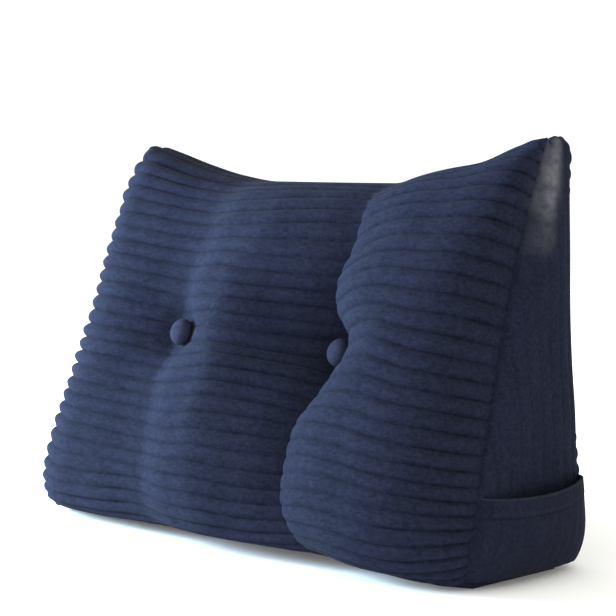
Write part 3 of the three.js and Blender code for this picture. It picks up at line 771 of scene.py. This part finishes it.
class ClothNodes:
    """The shader nodes of a cloth; each kind has a method that gives what the node puts out."""

    def __init__(self, tree):
        self.tree = tree
        place = self.node("ShaderNodeTexCoord").outputs["Object"]
        along_ribs = self.node("ShaderNodeMapping", {"Vector": place, "Scale": NAP_STRETCH})
        self.place = along_ribs.outputs["Vector"]

    def give(self, socket, value):
        """Links a socket to another one, or sets it to a plain value."""
        if isinstance(value, bpy.types.NodeSocket):
            self.tree.links.new(value, socket)
        else:
            socket.default_value = value

    def node(self, kind, inputs=None):
        node = self.tree.nodes.new(kind)
        for name, value in (inputs or {}).items():
            self.give(node.inputs[name], value)
        return node

    def noise(self, scale, detail):
        settings = {"Vector": self.place, "Scale": scale, "Detail": detail, "Roughness": NOISE_ROUGHNESS}
        return self.node("ShaderNodeTexNoise", settings).outputs["Fac"]

    def attribute(self, layer):
        node = self.node("ShaderNodeAttribute")
        node.attribute_name = layer
        return node.outputs["Fac"]

    def spread(self, value, low, high, to_low, to_high):
        """The value, spread from one span to another."""
        settings = {"Value": value, "From Min": low, "From Max": high, "To Min": to_low, "To Max": to_high}
        return self.node("ShaderNodeMapRange", settings).outputs["Result"]

    def product(self, first, second):
        node = self.node("ShaderNodeMath")
        node.operation = "MULTIPLY"
        node.use_clamp = True
        self.give(node.inputs[0], first)
        self.give(node.inputs[1], second)
        return node.outputs["Value"]

    def blended(self, first, second, share):
        """Two values, with the given share of the second."""
        return self.node("ShaderNodeMix", {"Factor": share, "A": first, "B": second}).outputs["Result"]

    def tinted(self, blend_type, amount, under, colour):
        """A colour laid over what is under it, as far as the amount says."""
        node = self.node("ShaderNodeMix")
        node.data_type = "RGBA"
        node.blend_type = blend_type
        sockets = [socket for socket in node.inputs if socket.type == "RGBA"]
        self.give(node.inputs["Factor"], amount)
        self.give(sockets[0], under)
        self.give(sockets[1], (*colour, 1))
        return [socket for socket in node.outputs if socket.type == "RGBA"][0]

    def ramp(self, value, dark, pale, softness):
        """Two colours, blended around the middle of the value over the given softness."""
        node = self.node("ShaderNodeValToRGB", {"Fac": value})
        first, second = node.color_ramp.elements
        first.position = 0.5 - softness
        first.color = (*dark, 1)
        second.position = 0.5 + softness
        second.color = (*pale, 1)
        return node.outputs["Color"]


def new_material(name):
    """A material and the inputs of its shader."""
    material = bpy.data.materials.new(name)
    material.use_nodes = True
    return material, material.node_tree.nodes["Principled BSDF"].inputs


def corduroy(name, pale, dark, softness):
    """A dyed wide-wale pile: mottled colour, painted shade in the grooves, a painted sheen and a fine nap."""
    material, surface = new_material(name)
    surface["Roughness"].default_value = 0.92
    surface["Specular IOR Level"].default_value = 0.02
    surface["Sheen Weight"].default_value = 0.015
    surface["Sheen Roughness"].default_value = 0.45
    surface["Sheen Tint"].default_value = (1, 0.95, 0.95, 1)
    cloth = ClothNodes(material.node_tree)
    tufts = cloth.noise(*TUFTS)
    pile = cloth.noise(*PILE)
    mottle = cloth.blended(cloth.blended(cloth.noise(*BLOTCHES), tufts, TUFT_COVER), pile, PILE_COVER)
    dyed = cloth.ramp(mottle, dark, pale, softness)
    # Painted shade, uneven in places, darkens the grooves, seams, stitched crease and pocket's mouth.
    uneven = cloth.spread(cloth.noise(*GROOVE_PATCHES), *GROOVE_SPREAD)
    grooved = cloth.tinted("MULTIPLY", cloth.product(cloth.attribute("groove"), uneven), dyed, GROOVE_TINT)
    # A painted sheen lays a pale grey over the colour, unevenly, where its layer says.
    patchy = cloth.spread(cloth.noise(*SHEEN_PATCHES), *SHEEN_SPREAD)
    patch = cloth.product(cloth.attribute("brushed"), patchy)
    cloth.give(surface["Base Color"], cloth.tinted("MIX", patch, grooved, SHEEN_COLOUR))
    height = cloth.blended(tufts, pile, PILE_COVER)
    nap = cloth.node("ShaderNodeBump", {"Strength": NAP_BUMP, "Distance": NAP_DEPTH * MM, "Height": height})
    cloth.give(surface["Normal"], nap.outputs["Normal"])
    return material


def cushion_cloth():
    return corduroy(
        "navy_corduroy",
        pale=(0.0166, 0.0195, 0.0380),
        dark=(0.0094, 0.0110, 0.0215),
        softness=0.095,
    )


# A paler copy of the cushion's cloth: the extra paleness is painted light on the buttons.
def button_cloth():
    return corduroy(
        "navy_button_cloth",
        pale=(0.0250, 0.0285, 0.0500),
        dark=(0.0180, 0.0205, 0.0360),
        softness=0.12,
    )


def pocket_cloth():
    return corduroy(
        "navy_pocket_corduroy",
        pale=(0.0156, 0.0178, 0.0340),
        dark=(0.0100, 0.0114, 0.0218),
        softness=0.095,
    )


def floor_paint():
    """Pale paint that glows a little, so that it shows as white."""
    material, surface = new_material("pale_floor")
    surface["Base Color"].default_value = (0.98, 0.98, 0.98, 1)
    surface["Roughness"].default_value = 0.9
    surface["Specular IOR Level"].default_value = 0.1
    surface["Emission Color"].default_value = (1, 0.97, 0.93, 1)
    surface["Emission Strength"].default_value = 0.1
    return material


def front_columns():
    """Column positions across the front, closest together at the valleys and the sides."""
    track = np.linspace(-1, 1, COLUMN_SAMPLES)
    from_middle = np.abs(track)
    density = 1 + band(from_middle, CLOSER_AT_VALLEY) + band(from_middle, CLOSER_AT_SIDE)
    total = np.concatenate([[0], np.cumsum((density[1:] + density[:-1]) / 2)])
    return np.interp(np.linspace(0, total[-1], FRONT_COLUMNS), total, track)


def rib_rows(ribs, steps):
    """Places between the seams at both ends of a panel, several for every rib, counted in ribs."""
    return np.arange(1, ribs * steps) / steps


def closer_at_ends(count, closer):
    """Places between 0 and 1, the closer together near both ends the higher the given share."""
    even = np.linspace(0, 1, count)
    return mix(even, 0.5 - 0.5 * np.cos(np.pi * even), closer)[1:-1]


def side_corners(body, side):
    """The four corners of a side panel."""
    return {
        "front_foot": body.add([side * (WIDTH / 2 - FRONT_PULL), FRONT_Y + FRONT_PULL, SEAM_Z]),
        "back_foot": body.add([side * (WIDTH / 2 - BACK_PULL), BACK_Y - BACK_PULL, SEAM_Z]),
        "front_top": body.add([side * half_width(1), TOP_Y, float(top_height(side, FRONT_DIP))]),
        "back_top": body.add([side * half_width(1), BACK_Y, float(top_height(side, BACK_DIP))]),
    }


def foot_line(across, y, z, most):
    """The foot seam of the front or the back, drawn in near its corners by the given amount at most."""
    pull = corner_pull(SEAM_Z, (1 - np.abs(across)) * WIDTH / 2, most)
    return points_of(across * WIDTH / 2 - np.sign(across) * pull, y - np.sign(y) * pull, z)


def back_across():
    """Columns across the back, closer together near the sides."""
    return -np.cos(np.linspace(0, np.pi, BACK_COLUMNS))[1:-1]


def level_seams(body, corners, columns):
    """The seams that run across, along the foot and the top of the front and the back."""
    foot_across = across_at(columns, 0)
    top_across = across_at(columns, 1)
    lines = {
        "front_foot": foot_line(foot_across, FRONT_Y, foot_height(foot_across), FRONT_PULL),
        "back_foot": foot_line(back_across(), BACK_Y, SEAM_Z, BACK_PULL),
        "front_top": top_base(top_across, 0.0),
        "back_top": top_base(top_across, 1.0),
    }
    return {name: body.seam(corners[-1][name], line, corners[1][name]) for name, line in lines.items()}


def side_seams(body, corners, side, ribs, shares):
    """The seams around a side panel; the front one has a point for every row of the front."""
    front_z = mix(SEAM_Z, top_height(side, FRONT_DIP), shares)
    front_x = seam_x(front_z, FRONT_PULL) - SEAM_SCALLOP * groove(ribs)
    back_z = np.linspace(SEAM_Z, top_height(side, BACK_DIP), BACK_SEAM_POINTS)[1:-1]
    foot_y = np.linspace(front_seam_y(SEAM_Z), back_seam_y(SEAM_Z), FOOT_SEAM_POINTS)[1:-1]
    lines = {
        "front": points_of(side * front_x, front_seam_y(front_z), front_z),
        "back": points_of(side * seam_x(back_z, BACK_PULL), back_seam_y(back_z), back_z),
        "foot": side_base(foot_y, float(SEAM_Z)) * [side, 1, 1],
        "top": top_base(side, np.linspace(0, 1, TOP_SEAM_POINTS)[1:-1]),
    }
    seams = {}
    for name, line in lines.items():
        start, end = SEAM_ENDS[name]
        seams[name] = body.seam(corners[start], line, corners[end])
    return seams


def front_panel(columns, ribs, shares):
    """Points and shade of the front, with ribs across it."""
    columns = np.broadcast_to(columns, shares.shape)
    ribs = ribs[:, None]
    uneven = 1 + unevenness(ribs, columns, FRONT_UNEVENNESS)
    height = FRONT_RIB_HEIGHT * rib_profile(ribs) * front_fade(columns, shares) * uneven
    return raised(front_base, columns, shares, height), groove(ribs)


def back_panel():
    """Points and shade of the back, with fewer ribs across it."""
    ribs = rib_rows(BACK_RIBS, BACK_STEPS)[:, None]
    across, share = np.broadcast_arrays(back_across(), ribs / BACK_RIBS)
    return raised(back_base, across, share, BACK_RIB_HEIGHT * rib_profile(ribs)), groove(ribs)


def side_panel(side):
    """Points and shade of a side, left to right from outside: upright ribs, cut off by the front seam."""
    level = closer_at_ends(SIDE_ROWS, SIDE_ROWS_CLOSER)[:, None]
    depth = closer_at_ends(SIDE_COLUMNS, SIDE_COLUMNS_CLOSER)
    z = mix(SEAM_Z, top_base(side, depth)[:, 2], level)
    y = mix(front_seam_y(z), back_seam_y(z), depth)
    # Painted shade in the side's grooves, and on the right the painted shadow in and above the pocket's
    # mouth.
    shade = np.maximum(SIDE_SHADE * groove(side_phase(y)), mouth_shadow(y, z) * (side > 0))
    points = side_points(y, z) * [side, 1, 1]
    return points[:, ::side], shade[:, ::side]


def top_panel(columns):
    """Points and shade of the strip along the top, with ribs along it."""
    ribs = rib_rows(TOP_RIBS, TOP_STEPS)[:, None]
    points = top_base(across_at(columns, 1), ribs / TOP_RIBS)
    points[..., 2] += TOP_RIB_HEIGHT * rib_profile(ribs)
    return points, groove(ribs)


def base_panel():
    """Points and shade of the base, from the back, flat on the floor, to the lifted front."""
    back = BACK_Y - BASE_INSET
    front = FRONT_Y + BASE_INSET
    y = np.array([back, back - FRONT_PULL, 0, front + FRONT_PULL, front])[:, None]
    reach = np.array([BASE_END_REACH, 1, 1, 1, BASE_END_REACH])[:, None]
    share = np.linspace(-1, 1, BASE_COLUMNS) * (1 - BASE_INSET * 2 / WIDTH) * reach
    lift = (foot_height(share) - SEAM_Z) * clamp(y / front)
    return points_of(share * WIDTH / 2, y, lift), 0.0


def cushion_surface():
    """All six panels, joined at their seams."""
    body = Cushion()
    columns = front_columns()
    inner = columns[1:-1]
    ribs = rib_rows(FRONT_RIBS, FRONT_STEPS)
    shares = rib_shares(columns, ribs)
    corners = {side: side_corners(body, side) for side in SIDES}
    level = level_seams(body, corners, inner)
    left = side_seams(body, corners[-1], -1, ribs, shares[:, 0])
    right = side_seams(body, corners[1], 1, ribs, shares[:, -1])

    # Each panel is seen from outside, with the seams at its bottom, top, left and right.
    around = {
        "front": (level["front_foot"], level["front_top"], left["front"], right["front"]),
        "back": (level["back_foot"][::-1], level["back_top"][::-1], right["back"], left["back"]),
        "right": (right["foot"], right["top"], right["front"], right["back"]),
        "left": (left["foot"][::-1], left["top"][::-1], left["back"], left["front"]),
        "top": (level["front_top"], level["back_top"], left["top"], right["top"]),
        "base": (level["back_foot"], level["front_foot"], left["foot"][::-1], right["foot"][::-1]),
    }
    body.panel(*front_panel(inner, ribs, shares[:, 1:-1]), around["front"])
    body.panel(*back_panel(), around["back"])
    body.panel(*side_panel(1), around["right"])
    body.panel(*side_panel(-1), around["left"])
    body.panel(*top_panel(inner), around["top"])
    body.panel(*base_panel(), around["base"])
    return body


def build_cushion(material):
    body = cushion_surface()
    # The painted sheen high on the right side.
    nap = brushed(np.concatenate(body.points))
    cushion = body.build("cushion", material, groove=np.concatenate(body.grooves), brushed=nap)
    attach(cushion, "root")
    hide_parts("cushion_body")


def button_surface(place):
    """A domed, cloth-covered button, shifted in X along the floor of its tuft and lifted off it."""
    seat = front_base(place["side"] * VALLEY_COLUMN, BUTTON_SHARE) + [place["shift"], 0, 0]
    normal = np.array([0, -math.cos(PUSH_UP), math.sin(PUSH_UP)])
    rightward = np.array([1.0, 0, 0])
    upward = np.cross(normal, rightward)
    centre = seat + normal * place["lift"]
    turns = np.linspace(0, 2 * np.pi, BUTTON_COLUMNS + 1)[:-1, None]
    tilts = np.linspace(*BUTTON_TILT, BUTTON_ROWS)[:-1, None, None]
    ring = rightward * np.cos(turns) + upward * np.sin(turns)
    radius = BUTTON_RADIUS * np.cos(tilts) ** BUTTON_FULLNESS
    height = np.sin(tilts) * np.where(tilts < 0, BUTTON_UNDERSIDE, BUTTON_DOME)
    surface = Surface()
    rows = surface.add(centre + ring * radius + normal * height)
    surface.grid(np.concatenate([rows, rows[:, :1]], axis=1))
    surface.fan(rows[-1], centre + normal * BUTTON_DOME)
    surface.fan(rows[0, ::-1], centre - normal * BUTTON_UNDERSIDE)
    return surface


def build_button(name, node, place, material):
    button = button_surface(place).build(name, material)
    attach(button, "root")
    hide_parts(node)


def pocket_points(q, z, outward):
    """Points of the pocket cloth: q runs from front to back, outward starts at the inner face."""
    y = mix(front_seam_y(z) + POCKET_INSET_FRONT, back_seam_y(z) - POCKET_INSET_BACK, q)
    level = clamp((z - POCKET_FOOT) / (pocket_top(q) - POCKET_FOOT))
    bag_across = np.maximum(0, np.sin(np.pi * q)) ** SLACK_WIDTH
    bag_up = np.sin(SLACK_HEIGHT * np.pi * level) ** SLACK_FULLNESS
    sewn = smooth(np.minimum(q, 1 - q), 0, POCKET_EDGE)
    lifted = mix(POCKET_SEWN_DEPTH, SIDE_RIB_HEIGHT + POCKET_CLEAR + outward, sewn)
    return side_base(y, z) + points_of(lifted + POCKET_SLACK * bag_across * bag_up, 0.0, 0.0)


def cloth_relief(q, above, in_hem):
    """How far the pocket's ribs and hem stand out, with a dip along the stitches."""
    ribs = POCKET_RIB_HEIGHT * rib_profile(q * POCKET_RIBS) * mix(1, HEM_RIBS, in_hem)
    return ribs + HEM_EXTRA * in_hem - band(above, STITCH_DIP)


def build_pocket(material):
    """The pocket: one cloth with a turned and stitched hem along its mouth."""
    below_rim = np.linspace(0, POCKET_ROWS_END, POCKET_ROWS)
    rim = np.linspace(RIM_START, 1, RIM_ROWS)
    q, level = np.meshgrid(np.linspace(0, 1, POCKET_COLUMNS), np.concatenate([below_rim, rim]))
    z = mix(POCKET_FOOT, pocket_top(q), level)
    above = z - pocket_top(q) + HEM_HEIGHT
    in_hem = smooth(above, *HEM_STEP)
    ends = smooth(np.minimum(q, 1 - q), 0, HEM_END)
    surface = Surface()
    outer = surface.add(pocket_points(q, z, POCKET_CLOTH + cloth_relief(q, above, in_hem) * ends))
    inside = surface.add(pocket_points(q, z, np.zeros_like(z)))
    surface.grid(outer)
    surface.grid(inside[::-1])
    surface.grid(np.stack([outer[-1], inside[-1]]))
    surface.grid(np.stack([inside[0], outer[0]]))
    surface.grid(np.stack([inside[:, 0], outer[:, 0]], axis=1))
    surface.grid(np.stack([outer[:, -1], inside[:, -1]], axis=1))
    # Painted shade in the grooves and along the stitched crease, and the dark bar tack.
    shade = groove(q * POCKET_RIBS) * mix(POCKET_SHADE, HEM_SHADE, in_hem)
    shade = shade + band(above, STITCH_SHADE) * ends + band(q, TACK_SHADE) * in_hem
    # Painted highlights along the folded rim and just above the stitches.
    highlights = RIM_HIGHLIGHT * smooth(above - HEM_HEIGHT, *RIM_HIGHLIGHT_SPAN) + band(above, STITCH_HIGHLIGHT) * ends
    # The inside face is painted in full shade and gets no painted sheen.
    pocket = surface.build(
        "pocket",
        material,
        groove=np.concatenate([shade.reshape(-1), np.ones(z.size)]),
        brushed=np.concatenate([highlights.reshape(-1), np.zeros(z.size)]),
    )
    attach(pocket, "root")
    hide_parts("side_pocket")


def build_world():
    """Even light from all around, with colours shown as they are."""
    scene = bpy.context.scene
    world = bpy.data.worlds.new("studio")
    world.use_nodes = True
    background = world.node_tree.nodes["Background"]
    background.inputs["Color"].default_value = (*SKY, 1)
    background.inputs["Strength"].default_value = 1.0
    scene.world = world
    scene.view_settings.view_transform = "Standard"


def build_floor():
    reach = FLOOR_REACH * MM
    corners = [(-reach, -reach, 0), (reach, -reach, 0), (reach, reach, 0), (-reach, reach, 0)]
    mesh = bpy.data.meshes.new("floor")
    mesh.from_pydata(corners, [], [(0, 1, 2, 3)])
    mesh.materials.append(floor_paint())
    floor = bpy.data.objects.new("floor", mesh)
    floor.location = (0, 0, -FLOOR_DROP * MM)
    bpy.context.scene.collection.objects.link(floor)


def away(turn, rise):
    """The direction from the pillow, turned from its front towards +X and raised."""
    return np.array([math.sin(turn) * math.cos(rise), -math.cos(turn) * math.cos(rise), math.sin(rise)])


def build_camera():
    direction = away(CAMERA_TURN, CAMERA_RISE)
    camera = bpy.data.cameras.new("camera")
    camera.lens = CAMERA_LENS
    camera.sensor_width = CAMERA_SENSOR
    viewer = bpy.data.objects.new("camera", camera)
    viewer.location = (CAMERA_TARGET + direction * CAMERA_DISTANCE) * MM
    viewer.rotation_euler = Vector(direction).to_track_quat("Z", "Y").to_euler()
    bpy.context.scene.collection.objects.link(viewer)
    bpy.context.scene.camera = viewer


def build_key_light():
    offset = away(KEY_TURN, 0) * KEY_DISTANCE + [0, 0, KEY_RISE]
    light = bpy.data.lights.new("key", "AREA")
    light.shape = "DISK"
    light.size = KEY_SIZE * MM
    light.energy = KEY_POWER
    light.color = KEY
    lamp = bpy.data.objects.new("key", light)
    lamp.location = (CAMERA_TARGET + offset) * MM
    lamp.rotation_euler = Vector(-offset).to_track_quat("-Z", "Y").to_euler()
    bpy.context.scene.collection.objects.link(lamp)


build_world()
build_floor()
build_camera()
build_key_light()
build_cushion(cushion_cloth())
button_cover = button_cloth()
build_button("tuft_button_left", "button_left", LEFT_BUTTON, button_cover)
build_button("tuft_button_right", "button_right", RIGHT_BUTTON, button_cover)
build_pocket(pocket_cloth())
